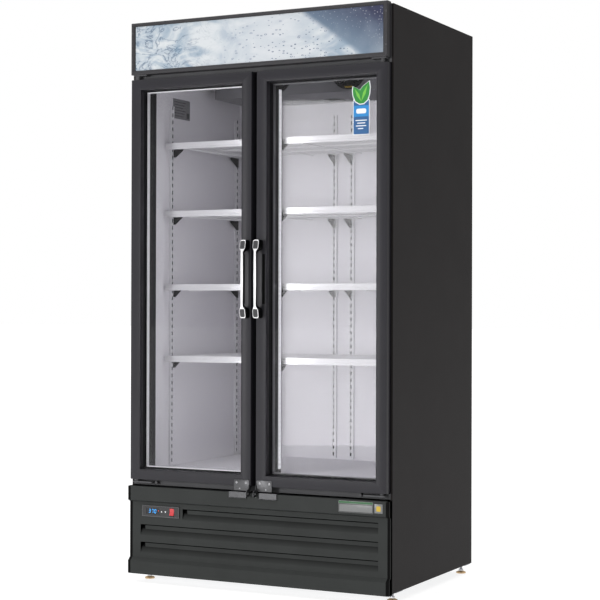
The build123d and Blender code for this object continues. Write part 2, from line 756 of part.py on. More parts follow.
def make_lines():
    """Copper pipes and the filter drier between compressor, condenser and evaporator."""
    discharge = tube([(-240, 430, 120), (-240, 350, 120), (-100, 350, 120), (-100, 105, 120),
                      (-41, 105, 120)], 25, 4)
    drier = rod(12, (360, 105, 90), (360, 105, 190))
    outlet = tube([(331, 105, 70), (360, 105, 70), (360, 105, 89)], 8, 3)
    liquid = tube([(360, 105, 191), (360, 105, 230), (440, 105, 230), (440, 640, 230),
                   (440, 640, foam_bottom - 1)], 25, 3)
    nodes["refrigerant_lines"] = group([discharge, drier, outlet, liquid])


def make_boxes():
    """Electrical box at the left of the machine space, and the condensate pan at its back."""
    box = block((-460, -300), (90, 230), (floor_z, 190))
    nodes["electrical_box"] = fillet(box.edges().filter_by(Axis.Z), 6)
    pan = block((60, 380), (420, 700), (floor_z, 100))
    nodes["drain_pan"] = pan - block((63, 377), (423, 697), (floor_z + 3, 101))


def make_rear_cover():
    """Cover over the back of the machine space with rows of air slots, and the inlet gland."""
    cover = block((-inner_skin, inner_skin), (cabinet_back - skin, cabinet_back),
                  (cabinet_bottom + skin, foam_bottom - 2))
    slots = []
    for row in range(8):
        for column in range(-2, 3):
            x = column * 180
            z = 109 + row * 24
            slots.append(block((x - 70, x + 70), (cabinet_back - 3, cabinet_back + 1), (z, z + 8)))
    x = -440.0
    z = 80.0
    barrel = 9.0
    back = cabinet_back + gland_flange
    cover -= rod(barrel + 0.1, (x, cabinet_back - 5, z), (x, cabinet_back + 1, z))
    nodes["rear_grille"] = cover - Compound(children=slots)
    gland = rod(barrel, (x, cabinet_back - 12, z), (x, back, z))
    gland += rod(14, (x, cabinet_back, z), (x, back, z))
    nodes["inlet_gland"] = gland - rod(4.5, (x, cabinet_back - 20, z), (x, back + 1, z))


def export_nodes():
    """Move the origin to the middle of the footprint and write one STEP per node."""
    shift = Pos(0, -(cabinet_back + gland_flange - handle_reach) / 2, 0)
    os.makedirs("parts", exist_ok=True)
    for name, shape in nodes.items():
        export_step(group([shift * solid for solid in shape.solids()]), "parts/%s.step" % name)


def main():
    make_shell()
    make_base()
    make_feet()
    make_insulation_and_liner()
    make_opening()
    make_header()
    make_grille()
    make_controls()
    make_badge()
    make_doors()
    make_brackets()
    make_screws()
    make_pilasters()
    make_clips()
    make_shelves()
    make_evaporator()
    make_condenser()
    make_compressor()
    make_lines()
    make_boxes()
    make_rear_cover()
    export_nodes()


main()
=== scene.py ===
import json
import math
import bmesh
import bpy
from mathutils import Matrix, Vector


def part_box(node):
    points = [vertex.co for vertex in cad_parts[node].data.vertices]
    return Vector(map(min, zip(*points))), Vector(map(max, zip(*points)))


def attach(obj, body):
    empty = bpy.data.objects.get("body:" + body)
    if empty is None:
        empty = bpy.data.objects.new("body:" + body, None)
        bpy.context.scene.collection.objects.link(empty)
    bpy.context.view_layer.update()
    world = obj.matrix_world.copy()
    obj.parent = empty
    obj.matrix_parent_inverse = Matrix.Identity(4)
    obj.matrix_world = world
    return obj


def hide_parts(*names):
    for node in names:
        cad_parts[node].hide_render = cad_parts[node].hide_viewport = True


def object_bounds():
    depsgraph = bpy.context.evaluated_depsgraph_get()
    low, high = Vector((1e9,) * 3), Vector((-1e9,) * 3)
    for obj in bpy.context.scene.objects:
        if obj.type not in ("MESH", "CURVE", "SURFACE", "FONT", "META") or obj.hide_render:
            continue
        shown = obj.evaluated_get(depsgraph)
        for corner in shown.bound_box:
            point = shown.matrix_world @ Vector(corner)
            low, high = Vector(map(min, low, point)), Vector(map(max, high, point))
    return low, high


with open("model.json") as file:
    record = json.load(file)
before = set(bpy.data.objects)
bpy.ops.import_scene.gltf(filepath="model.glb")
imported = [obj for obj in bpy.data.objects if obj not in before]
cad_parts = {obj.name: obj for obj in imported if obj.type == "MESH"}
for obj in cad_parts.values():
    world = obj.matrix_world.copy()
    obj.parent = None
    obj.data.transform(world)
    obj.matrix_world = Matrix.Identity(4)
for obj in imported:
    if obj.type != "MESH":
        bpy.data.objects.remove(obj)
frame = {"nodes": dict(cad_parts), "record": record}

cad_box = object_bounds()
MM = 0.001
FACE_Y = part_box("left_door_frame")[0].y     # front face of the doors
WHITE = (1, 1, 1)

# ---- camera ---------------------------------------------------------------
FRAME_PX = 600                  # width of the picture that the focal length is given for
FOCAL_PX = 1590.78
SENSOR = 36.0
EYE = (2.5731, -5.0683, 0.9675)
YAW = math.radians(26.967)
PITCH = math.radians(0.239)
ROLL = math.radians(0.157)


def make_camera():
    data = bpy.data.cameras.new("camera")
    data.sensor_width = SENSOR
    data.lens = SENSOR * FOCAL_PX / FRAME_PX
    data.clip_end = 100.0
    camera = bpy.data.objects.new("camera", data)
    bpy.context.collection.objects.link(camera)
    level = math.cos(PITCH)
    forward = Vector((-math.sin(YAW) * level, math.cos(YAW) * level, math.sin(PITCH)))
    right = Vector((math.cos(YAW), math.sin(YAW), 0))
    up = right.cross(forward)
    rolled_right = right * math.cos(ROLL) + up * math.sin(ROLL)
    rolled_up = up * math.cos(ROLL) - right * math.sin(ROLL)
    turn = Matrix((rolled_right, rolled_up, -forward)).transposed()
    camera.matrix_world = Matrix.Translation(EYE) @ turn.to_4x4()
    bpy.context.scene.camera = camera


# ---- node helpers ---------------------------------------------------------
class Nodes:
    """Short calls for the nodes of one tree. A value is a socket, a number, a colour or a vector."""

    def __init__(self, tree):
        self.tree = tree

    def feed(self, socket, value):
        if isinstance(value, bpy.types.NodeSocket):
            self.tree.links.new(value, socket)
        elif socket.type == "RGBA":
            socket.default_value = (*value, 1)
        else:
            socket.default_value = value

    def add(self, kind, inputs, **settings):
        """A new node of a kind, with its settings made and its inputs fed."""
        node = self.tree.nodes.new("ShaderNode" + kind)
        for name, value in settings.items():
            setattr(node, name, value)
        for key, value in inputs.items():
            self.feed(node.inputs[key], value)
        return node

    def stretch(self, vector, scale):
        return self.add("Mapping", {"Vector": vector, "Scale": scale}).outputs[0]

    def noise(self, vector, scale, detail=2.0, rough=0.5, distortion=0.0):
        return self.add("TexNoise", {"Vector": vector, "Scale": scale, "Detail": detail, "Roughness": rough,
                                     "Distortion": distortion}).outputs["Fac"]

    def cells(self, vector, scale, output="Distance"):
        return self.add("TexVoronoi", {"Vector": vector, "Scale": scale}).outputs[output]

    def axes(self, vector):
        return self.add("SeparateXYZ", {0: vector}).outputs

    def reckon(self, operation, first, second=0.0):
        return self.add("Math", {0: first, 1: second}, operation=operation).outputs[0]

    def times(self, first, second):
        return self.reckon("MULTIPLY", first, second)

    def plus(self, first, second):
        return self.reckon("ADD", first, second)

    def minus(self, first, second):
        return self.reckon("SUBTRACT", first, second)

    def away(self, value, middle=None):
        """Distance of a value from a middle, or from zero."""
        return self.reckon("ABSOLUTE", value if middle is None else self.minus(value, middle))

    def wave(self, value, pitch):
        return self.reckon("SINE", self.times(value, 2 * math.pi / pitch))

    def remap(self, value, low, high, to_low=0.0, to_high=1.0, kind="LINEAR"):
        return self.add("MapRange", {"Value": value, "From Min": low, "From Max": high, "To Min": to_low,
                                     "To Max": to_high}, interpolation_type=kind).outputs[0]

    def blend(self, share, first, second):
        """Mix of two colours. The colour sockets are the node's inputs 6 and 7, and its output 2."""
        return self.add("Mix", {0: share, 6: first, 7: second}, data_type="RGBA").outputs[2]


made = {}                       # every material by its name, which may be that of a slot in the record


class Look(Nodes):
    """A material with one principled shader; where is the place on the object."""

    def __init__(self, name):
        self.material = made[name] = bpy.data.materials.new(name)
        self.material.use_nodes = True
        super().__init__(self.material.node_tree)
        self.shader = self.tree.nodes["Principled BSDF"]
        self.where = self.add("TexCoord", {}).outputs["Object"]

    def surface(self, values):
        for name, value in values.items():
            self.feed(self.shader.inputs[name], value)

    def bump(self, height, strength, distance):
        node = self.add("Bump", {"Height": height, "Strength": strength, "Distance": distance})
        self.surface({"Normal": node.outputs["Normal"]})

    def paint(self, colour, rough=0.45, specular=0.5, spread=0.1, grain=900.0, depth=0.06 * MM,
              rough_spread=0.06, metallic=0.0, direction=(1, 1, 1), strength=0.5):
        """Slight tone drift, a fine grain and uneven gloss. Returns the colour's socket."""
        drift = self.remap(self.noise(self.where, 6.0, 4.0, 0.6), 0.3, 0.7)
        tone = self.blend(drift, scaled(colour, 1 - spread), scaled(colour, 1 + spread))
        fine = self.noise(self.stretch(self.where, direction), grain, 2.0, 0.6)
        gloss = self.remap(fine, 0.3, 0.7, rough - rough_spread, rough + rough_spread)
        self.surface({"Base Color": tone, "Roughness": gloss, "Metallic": metallic,
                      "Specular IOR Level": specular})
        self.bump(fine, strength, depth)
        return tone


def scaled(colour, factor):
    return tuple(min(1.0, channel * factor) for channel in colour)


def grey(level):
    return (level, level, level)


# ---- light and floor ------------------------------------------------------
HORIZON, ZENITH = 0.42, 1.75            # strength of the dome at the horizon and overhead
KEY_POWER, BOX_POWER, LAMP_POWER = 215.0, 52.0, 1.45
KEY_TURN = math.radians(19)             # how far left of straight ahead the key light stands
KEY_DISTANCE = 6.0
KEY_HEIGHT = 1.35
KEY_SIZE = (0.7, 2.0)
BOX_PLACE = (-2.1, -5.6, 1.1)
BOX_SIZE = (1.0, 2.6)
FLOOR_REACH = 60.0


def area_light(name, place, aim, size, power):
    data = bpy.data.lights.new(name, "AREA")
    data.shape = "RECTANGLE"
    data.size, data.size_y = size
    data.energy = power
    light = bpy.data.objects.new(name, data)
    bpy.context.collection.objects.link(light)
    light.location = place
    light.rotation_euler = (Vector(aim) - Vector(place)).to_track_quat("-Z", "Y").to_euler()
    return light


def make_world():
    """White behind the object, and a dome that is soft at the horizon and bright overhead."""
    world = bpy.data.worlds.new("studio")
    bpy.context.scene.world = world
    world.use_nodes = True
    world.node_tree.nodes.clear()
    sky = Nodes(world.node_tree)
    direction = sky.add("TexCoord", {}).outputs["Generated"]
    glow = sky.remap(sky.reckon("POWER", sky.axes(direction)["Z"], 2.0), 0, 1, HORIZON, ZENITH)
    seen = sky.add("Background", {"Color": WHITE})
    fill = sky.add("Background", {"Color": WHITE, "Strength": glow})
    from_camera = sky.add("LightPath", {}).outputs["Is Camera Ray"]
    mix = sky.add("MixShader", {0: from_camera, 1: fill.outputs[0], 2: seen.outputs[0]})
    sky.add("OutputWorld", {"Surface": mix.outputs[0]})


def make_studio():
    bpy.context.scene.view_settings.view_transform = "Standard"
    make_world()
    middle = (cad_box[0] + cad_box[1]) / 2
    key_place = (middle.x - KEY_DISTANCE * math.sin(KEY_TURN),
                 middle.y - KEY_DISTANCE * math.cos(KEY_TURN), KEY_HEIGHT)
    key = area_light("key", key_place, (middle.x, middle.y, 1.05), KEY_SIZE, KEY_POWER)
    key.visible_glossy = False
    area_light("soft_box", BOX_PLACE, (middle.x + 0.3, middle.y, 1.0), BOX_SIZE, BOX_POWER)

    mesh = bpy.data.meshes.new("floor")
    corners = [(FLOOR_REACH * x, FLOOR_REACH * y, 0) for x, y in ((-1, -1), (1, -1), (1, 1), (-1, 1))]
    mesh.from_pydata(corners, [], [(0, 1, 2, 3)])
    floor = bpy.data.objects.new("floor", mesh)
    bpy.context.collection.objects.link(floor)
    pale = Look("floor_pale")
    pale.surface({"Base Color": grey(0.4), "Emission Color": WHITE, "Emission Strength": 0.75,
                  "Roughness": 0.9, "Specular IOR Level": 0.1})
    mesh.materials.append(pale.material)


make_camera()
make_studio()


# ---- materials ------------------------------------------------------------
def coated(name, colour, *values, **named):
    """Paint, plastic or metal. The values are those of Look.paint."""
    look = Look(name)
    look.paint(colour, *values, **named)
    return look.material


def spangled(name, colour, rough=0.4):
    """Zinc-coated sheet, with its crystal pattern."""
    look = Look(name)
    grains = look.axes(look.cells(look.where, 90.0, "Color"))[0]
    look.surface({"Base Color": look.blend(grains, scaled(colour, 0.8), scaled(colour, 1.2)),
                  "Roughness": look.remap(grains, 0, 1, rough - 0.1, rough + 0.1), "Metallic": 0.85})
    look.bump(look.noise(look.where, 500.0), 0.3, 0.05 * MM)
    return look.material


def finned(name, colour):
    """Thin aluminium fins, closely spaced along X, drawn as darker and lighter stripes: painted shade between
    the fins and painted highlights on their edges.
    """
    look = Look(name)
    wave = look.wave(look.axes(look.where)[0], 2.2 * MM)
    fin_shade = look.times(wave, look.noise(look.where, 30.0, 3.0))
    tone = look.blend(look.remap(fin_shade, -0.4, 0.4), scaled(colour, 0.5), scaled(colour, 1.15))
    look.surface({"Base Color": tone, "Metallic": 0.8, "Roughness": 0.4})
    look.bump(wave, 0.6, 0.4 * MM)
    return look.material


def perforated(name, colour):
    """Glass spacer bar: satin aluminium with two rows of pinholes."""
    look = Look(name)
    x, y, z = look.axes(look.where)
    across = look.away(look.wave(y, 12 * MM))
    holes = look.remap(look.times(look.wave(look.plus(x, z), 4 * MM), across), 0.78, 0.9)
    brushed = look.noise(look.stretch(look.where, (1, 30, 1)), 60.0)
    look.surface({"Base Color": look.blend(holes, colour, scaled(colour, 0.35)),
                  "Roughness": look.remap(brushed, 0.3, 0.7, 0.28, 0.42), "Metallic": 0.1})
    look.bump(holes, 0.5, -0.2 * MM)
    return look.material


def slotted_strip(name, colour):
    """Painted shelf strip; the inside of its row of slots is painted near black, as painted shade."""
    look = Look(name)
    source = look.paint(colour, 0.4, 0.5, 0.05)
    x, y, z = look.axes(look.where)
    across = look.away(x)
    rows = ((across, 36 * MM), (across, 18 * MM), (y, FACE_Y + 198 * MM), (y, FACE_Y + 676 * MM))
    bands = [look.remap(look.away(place, middle), 3.4 * MM, 3.0 * MM) for place, middle in rows]
    inside = bands[0]
    for band in bands[1:]:
        inside = look.reckon("MAXIMUM", inside, band)
    # Painted shade: near black inside each slot.
    slot = look.times(look.remap(look.wave(z, 25.4 * MM), -0.15, 0.0), inside)
    look.surface({"Base Color": look.blend(slot, source, grey(0.01))})
    return look.material


def louvered(name, colour):
    """Painted lower panel, with painted shade on the louvers: the blades darken as they lean back from the
    face of the sheet, and go nearly black in the throat behind them.
    """
    look = Look(name)
    source = look.paint(colour, 0.48, 0.12)
    y = look.axes(look.where)[1]
    slope_shade = look.remap(y, FACE_Y + 14.4 * MM, FACE_Y + 22.4 * MM, 0.1, 0.72)
    throat_shade = look.remap(y, FACE_Y + 22.8 * MM, FACE_Y + 24 * MM, 0.0, 0.97)
    on_blade = look.remap(y, FACE_Y + 14.1 * MM, FACE_Y + 14.5 * MM)
    # Painted shade: the blades and their throat are darkened in the colour, more the deeper they lie.
    dark = look.times(look.reckon("MAXIMUM", slope_shade, throat_shade), on_blade)
    look.surface({"Base Color": look.blend(dark, source, scaled(colour, 0.05))})
    return look.material


def glowing(name, colour, strength, pitch=None):
    """A lit lens; pitch spaces brighter chips along Z."""
    look = Look(name)
    if pitch:
        pattern = look.remap(look.wave(look.axes(look.where)[2], pitch), -1, 1)
    else:
        pattern = look.noise(look.where, 60.0, 2.0)
    tone = look.blend(pattern, scaled(colour, 0.85), colour)
    look.surface({"Base Color": tone, "Emission Color": tone, "Emission Strength": strength,
                  "Roughness": 0.3})
    return look.material


def clear_glass():
    """Clear pane: mostly see-through, with a mirror share that grows towards grazing."""
    look = Look("clear_glass")
    look.tree.nodes.remove(look.shader)
    haze = look.remap(look.noise(look.where, 3.0), 0.3, 0.7)
    tint = look.blend(haze, (0.895, 0.893, 0.9), (0.905, 0.904, 0.91))
    through = look.add("BsdfTransparent", {"Color": tint})
    gloss = look.add("BsdfGlossy", {"Roughness": 0.02})
    facing = look.add("LayerWeight", {"Blend": 0.5}).outputs["Facing"]
    share = look.remap(look.reckon("POWER", facing, 5.0), 0, 1, 0.014, 0.6)
    mix = look.add("MixShader", {0: share, 1: through.outputs[0], 2: gloss.outputs[0]})
    look.feed(look.tree.nodes["Material Output"].inputs["Surface"], mix.outputs[0])
    return look.material


def sign_print():
    """Generic ice picture: frost at the left, pale middle, droplets, and a dark corner at the right."""
    look = Look("sign_print")
    where, blend, remap, times, noise = look.where, look.blend, look.remap, look.times, look.noise
    low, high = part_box("header_sign")
    x, _, z = look.axes(where)
    across = remap(x, low.x, high.x)
    height = remap(z, low.z, high.z)

    swirl = noise(look.stretch(where, (1, 1, 1.6)), 7.0, 5.0, 0.55, 1.6)
    ground = blend(remap(swirl, 0.36, 0.66), (0.36, 0.48, 0.6), (0.86, 0.9, 0.93))
    pale = look.minus(1.0, look.away(across, 0.55))
    ground = blend(remap(pale, 0.68, 0.98, 0.0, 0.8), ground, (0.86, 0.89, 0.93))

    crystals = noise(look.stretch(where, (1, 1, 1.4)), 11.0, 6.0, 0.6, 1.8)
    frost = times(remap(look.away(crystals, 0.5), 0.028, 0.0), remap(across, 0.36, 0.16))
    ground = blend(times(frost, 0.85), ground, (0.12, 0.19, 0.3))
    gleam = times(remap(crystals, 0.58, 0.7), remap(across, 0.34, 0.12))
    ground = blend(gleam, ground, (0.9, 0.93, 0.95))

    # The dark corner lies over a slanted soft edge.
    edge_at = look.plus(0.665, times(look.minus(1.0, height), 0.25))
    beyond = look.minus(across, edge_at)
    dark = remap(beyond, -0.012, 0.03, kind="SMOOTHSTEP")
    deep = remap(look.plus(beyond, times(height, 0.1)), 0.03, 0.34)
    corner = blend(deep, (0.22, 0.31, 0.42), (0.05, 0.055, 0.12))
    corner = blend(remap(noise(where, 18.0, 4.0), 0.45, 0.8, 0, 0.4), corner, (0.3, 0.36, 0.46))
    ground = blend(dark, ground, corner)
    shine = times(remap(across, 0.93, 1.0), remap(height, 0.5, 0.0))
    ground = blend(times(shine, 0.5), ground, (0.7, 0.75, 0.8))

    # Droplets: small slanted cells, each with a dark rim and a light middle.
    slanted = look.stretch(where, (0.75, 1, 1.5))
    chance = look.axes(look.cells(slanted, 95.0, "Color"))[0]
    depth = look.minus(remap(chance, 0.35, 1.0, 0.0, 0.42), look.cells(slanted, 95.0))
    region = times(remap(across, 0.3, 0.5), remap(height, 1.25, 0.5))
    region = times(region, remap(dark, 1.0, 0.3))
    ground = blend(times(times(remap(depth, 0.0, 0.05), region), 0.9), ground, (0.08, 0.13, 0.24))
    ground = blend(times(remap(depth, 0.12, 0.2), region), ground, (0.8, 0.85, 0.92))
    sparks = remap(look.cells(where, 120.0), 0.2, 0.1)
    ground = blend(times(sparks, times(dark, deep)), ground, (0.75, 0.78, 0.83))

    muted = look.add("VectorMath", {0: ground, "Scale": 0.5}, operation="SCALE")
    look.surface({"Base Color": muted.outputs[0], "Roughness": 0.22, "Specular IOR Level": 0.4})
    look.bump(noise(where, 700.0), 0.15, 0.02 * MM)
    return look.material


PANEL_GREY = (0.0235, 0.0252, 0.0245)
SIDE_BLACK = coated("side_black", (0.0135, 0.0118, 0.0118), 0.55, 0.08)
PANEL_BLACK = coated("panel_black", PANEL_GREY, 0.48, 0.12)
GRILLE_BLACK = louvered("grille_black", PANEL_GREY)
# Lighter than the other black paint, as painted light: the front frame and the hinge brackets sit in shade
# behind the doors and the header.
FRAME_BLACK = coated("frame_black", (0.055, 0.055, 0.058), 0.5, 0.2)
HEADER_BLACK = coated("header_black", (0.022, 0.021, 0.0235), 0.4, 0.4)
DOOR_BLACK = coated("door_black", (0.0145, 0.0138, 0.0172), 0.36, 0.32)
# Near black: the pull bodies and the dust screen, and painted shade on the lower panel's end caps and in the
# painted strap shadow on the pulls.
END_BLACK = coated("panel_end_black", grey(0.002), 0.5, 0.05)
coated("liner_white", (0.8, 0.79, 0.82), 0.45, 0.4, 0.02, depth=0.01 * MM, strength=0.1)
WIRE_WHITE = coated("wire_white", (0.86, 0.86, 0.87), 0.35, 0.5, 0.02)
slotted_strip("pilaster_grey", (0.82, 0.82, 0.84))
BLACK_PLASTIC = coated("black_plastic", grey(0.011), 0.5, 0.3)
BREAKER_BLACK = coated("breaker_black", grey(0.009), 0.4, 0.3)
RUBBER = coated("rubber_black", (0.008, 0.008, 0.009), 0.65, 0.25)
GRIP = coated("grip_texture", (0.03, 0.03, 0.032), 0.5, 0.4, grain=1400.0, depth=0.25 * MM, strength=0.9)
clear_glass()
SPACER = perforated("spacer_aluminium", (0.9, 0.9, 0.92))
# The same aluminium, darkened as painted shade for the right door's bar.
SPACER_PAINTED_SHADE = perforated("spacer_painted_shade", (0.12, 0.12, 0.125))
CHROME = coated("chrome", (0.9, 0.9, 0.91), 0.22, 0.5, 0.02, metallic=0.55, rough_spread=0.04,
                grain=300.0, depth=0.004 * MM, strength=0.2)
STEEL = coated("steel_plain", (0.1, 0.1, 0.104), 0.32, 0.5, 0.1, metallic=0.9, direction=(1, 1, 12),
               grain=160.0, depth=0.03 * MM)
SCREW_STEEL = coated("screw_steel", (0.6, 0.6, 0.62), 0.28, 0.5, 0.1, metallic=1.0)
spangled("galvanised", (0.45, 0.46, 0.48))
BRASS = coated("foot_brass", (0.62, 0.43, 0.24), 0.32, 0.5, 0.12, metallic=0.9)
coated("copper", (0.68, 0.33, 0.2), 0.32, 0.5, 0.15, metallic=0.95)
coated("evaporator_grey", (0.2, 0.2, 0.21), 0.45, 0.5, 0.05)
finned("coil_aluminium", (0.55, 0.56, 0.57))
coated("compressor_black", (0.012, 0.012, 0.013), 0.35, 0.5, grain=300.0)
coated("grey_plastic", (0.04, 0.04, 0.043), 0.42, 0.4)
BEZEL_LIGHT = coated("control_edge", (0.085, 0.085, 0.09), 0.4, 0.4)
coated("control_grey", (0.022, 0.022, 0.023), 0.4, 0.4)
coated("display_dark", (0.004, 0.005, 0.008), 0.12, 0.5, rough_spread=0.03)
DIGIT_BLUE = glowing("digit_blue", (0.03, 0.4, 1.0), 1.3)
LED_RED = glowing("led_red", (1.0, 0.05, 0.02), 2.0)
# Painted light: the printed key icons glow.
ICON_WHITE = glowing("icon_white", (0.85, 0.85, 0.86), 0.4)
glowing("lamp_white", (0.9, 0.91, 0.93), 0.75, 16 * MM)
sign_print()
coated("foam", (0.7, 0.6, 0.35), 0.8, 0.3, grain=400.0, depth=0.3 * MM)
coated("rocker_red", (0.4, 0.035, 0.04), 0.25, 0.5, rough_spread=0.03)
SILVER = coated("badge_silver", (0.16, 0.163, 0.163), 0.32, 0.5, 0.04, metallic=0.45, direction=(12, 1, 1),
                grain=120.0)
BADGE_YELLOW = coated("badge_yellow", (0.4, 0.27, 0.02), 0.4, 0.4)
BADGE_GREEN = coated("badge_green", (0.015, 0.08, 0.025), 0.35, 0.5)
LABEL_GREY = coated("label_grey", (0.2, 0.2, 0.21), 0.5, 0.3, 0.03)
PRINT_GREY = coated("print_grey", (0.05, 0.05, 0.055), 0.5, 0.3)
PRINT_WHITE = coated("print_white", (0.6, 0.62, 0.63), 0.4, 0.4, 0.02)
PRINT_BLUE = coated("print_blue", (0.012, 0.075, 0.2), 0.4, 0.4)
PRINT_CYAN = coated("print_cyan", (0.01, 0.17, 0.42), 0.4, 0.4)
PRINT_GREEN = coated("print_green", (0.012, 0.17, 0.02), 0.4, 0.4, 0.25)
PRINT_LIME = coated("print_lime", (0.12, 0.36, 0.04), 0.4, 0.4, 0.2)


# ---- mesh helpers ---------------------------------------------------------
# Pieces are drawn in millimetres, with X and Z as in the frame and Y measured from the face of the doors.


def span(node, axis):
    """Lowest and highest place of a CAD node along x, y or z, in the pieces' millimetres."""
    low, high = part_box(node)
    shift = FACE_Y if axis == "y" else 0.0
    return (getattr(low, axis) - shift) / MM, (getattr(high, axis) - shift) / MM


def spot(axis, first, second, along):
    """A point from two coordinates across an axis and one along it."""
    return {"x": (along, first, second), "y": (first, along, second), "z": (first, second, along)}[axis]


class Piece:
    """Gathers closed bodies in one mesh, each with its material."""

    def __init__(self, name):
        self.name = name
        self.mesh = bmesh.new()
        self.materials = []

    def add(self, part, material):
        if material not in self.materials:
            self.materials.append(material)
        bmesh.ops.recalc_face_normals(part, faces=part.faces)
        for face in part.faces:
            face.material_index = self.materials.index(material)
        store = bpy.data.meshes.new("part")
        part.to_mesh(store)
        part.free()
        self.mesh.from_mesh(store)
        bpy.data.meshes.remove(store)

    def box(self, x, y, z, material, edge=0.0):
        """A block with rounded edges."""
        part = bmesh.new()
        bmesh.ops.create_cube(part, size=1)
        size = Vector((x[1] - x[0], y[1] - y[0], z[1] - z[0]))
        middle = Vector((sum(x), sum(y), sum(z))) / 2
        for vertex in part.verts:
            vertex.co = vertex.co * size
        if edge:
            bmesh.ops.bevel(part, geom=part.edges[:], offset=edge, segments=2, profile=0.5, affect="EDGES")
        for vertex in part.verts:
            vertex.co = middle + vertex.co
        self.add(part, material)

    def loft(self, rings, material, closed=False):
        """Skin between rings of the same number of points, with end caps unless it closes on itself."""
        part = bmesh.new()
        skins = [[part.verts.new(point) for point in ring] for ring in rings]
        count = len(skins)
        for index in range(count if closed else count - 1):
            near, far = skins[index], skins[(index + 1) % count]
            for step in range(len(near)):
                following = (step + 1) % len(near)
                part.faces.new((near[step], near[following], far[following], far[step]))
        if not closed:
            part.faces.new(skins[0])
            part.faces.new(skins[-1])
        self.add(part, material)

    def tube(self, points, radius, material, sides=8, closed=False):
        """A round bar along points, or a ring through them if closed."""
        points = [Vector(point) for point in points]
        count = len(points)
        rings = []
        side = None
        for index, point in enumerate(points):
            before = points[index - 1] if index or closed else point
            after = points[(index + 1) % count] if index + 1 < count or closed else point
            along = (after - before).normalized()
            side = side or along.orthogonal().normalized()
            side = (side - along * side.dot(along)).normalized()
            other = along.cross(side)
            rings.append([point + (side * math.cos(turn) + other * math.sin(turn)) * radius
                          for turn in full_turn(sides)])
        self.loft(rings, material, closed)

    def prism(self, axis, outline, along, material, holes=(), edge=0.0):
        """An outline with holes, extruded along an axis."""
        part = bmesh.new()
        edges = []
        for loop in (outline, *holes):
            corners = [part.verts.new(spot(axis, *point, along[0])) for point in loop]
            for index, corner in enumerate(corners):
                edges.append(part.edges.new((corner, corners[(index + 1) % len(corners)])))
        filled = bmesh.ops.triangle_fill(part, use_beauty=True, edges=edges)["geom"]
        faces = [item for item in filled if isinstance(item, bmesh.types.BMFace)]
        raised = bmesh.ops.extrude_face_region(part, geom=faces, use_keep_orig=True)["geom"]
        lift = Vector(spot(axis, 0, 0, along[1] - along[0]))
        tops = [item for item in raised if isinstance(item, bmesh.types.BMVert)]
        bmesh.ops.translate(part, vec=lift, verts=tops)
        bmesh.ops.dissolve_limit(part, angle_limit=0.01, verts=part.verts, edges=part.edges)
        if edge:
            sharp = [item for item in part.edges if item.calc_face_angle(0) > 0.6]
            bmesh.ops.bevel(part, geom=sharp, offset=edge, segments=2, profile=0.5, affect="EDGES")
        self.add(part, material)

    def lathe(self, axis, centre, profile, material, sides=32):
        """Turn a closed profile of (radius, place along the axis) about an axis through centre."""
        rings = []
        for turn in full_turn(sides):
            out, over = math.cos(turn), math.sin(turn)
            rings.append([Vector(centre) + Vector(spot(axis, radius * out, radius * over, at))
                          for radius, at in profile])
        self.loft(rings, material, closed=True)

    def surround(self, x, z, profile, material, shape=(1.0, 1.0), seam=0.12):
        """Four mitred bars around an opening; profile is (inset from x and z, y), shape scales the insets."""
        corners = [(x[0], z[0], 1, 1), (x[1], z[0], -1, 1), (x[1], z[1], -1, -1), (x[0], z[1], 1, -1)]
        for index, start in enumerate(corners):
            end = corners[(index + 1) % 4]
            rings = []
            for corner, other in ((start, end), (end, start)):
                pull = Vector((other[0] - corner[0], 0, other[1] - corner[1])).normalized() * seam
                way_x, way_z = corner[2] * shape[0], corner[3] * shape[1]
                rings.append([Vector((corner[0] + way_x * inset, y, corner[1] + way_z * inset)) + pull
                              for inset, y in profile])
            self.loft(rings, material)

    def plate(self, x, z, y, material, round_by=0.0, edge=0.0):
        """A flat plate with rounded corners, facing along Y."""
        self.prism("y", rectangle(x, z, round_by), y, material, edge=edge)

    def finish(self, body, slot, *replaced, smooth=35):
        """Put the piece in the frame, on its body, and hide the CAD nodes that it stands for. The slot is not
        used.
        """
        data = bpy.data.meshes.new(self.name)
        bmesh.ops.scale(self.mesh, vec=(MM, MM, MM), verts=self.mesh.verts)
        bmesh.ops.translate(self.mesh, vec=(0, FACE_Y, 0), verts=self.mesh.verts)
        self.mesh.to_mesh(data)
        self.mesh.free()
        for material in self.materials:
            data.materials.append(material)
        data.shade_smooth()
        data.set_sharp_from_angle(angle=math.radians(smooth))
        piece = bpy.data.objects.new(self.name, data)
        bpy.context.collection.objects.link(piece)
        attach(piece, body)
        if replaced:
            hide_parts(*replaced)


def full_turn(steps):
    return [2 * math.pi * step / steps for step in range(steps)]


def circle(x, z, radius, steps):
    return [(x + radius * math.cos(turn), z + radius * math.sin(turn)) for turn in full_turn(steps)]


def middle_of(node, axis):
    return sum(span(node, axis)) / 2


def mirrored(sign, first, second):
    """A span from two distances on one side of the middle, lowest first."""
    return tuple(sorted((sign * first, sign * second)))


def rectangle(x, z, round_by=0.0, steps=4):
    """Outline of a rectangle with rounded corners."""
    if not round_by:
        return [(x[0], z[0]), (x[1], z[0]), (x[1], z[1]), (x[0], z[1])]
    points = []
    centres = [(x[1] - round_by, z[1] - round_by, 0), (x[0] + round_by, z[1] - round_by, 90),
               (x[0] + round_by, z[0] + round_by, 180), (x[1] - round_by, z[0] + round_by, 270)]
    for middle_x, middle_z, first in centres:
        for step in range(steps + 1):
            turn = math.radians(first + 90 * step / steps)
            points.append((middle_x + round_by * math.cos(turn), middle_z + round_by * math.sin(turn)))
    return points


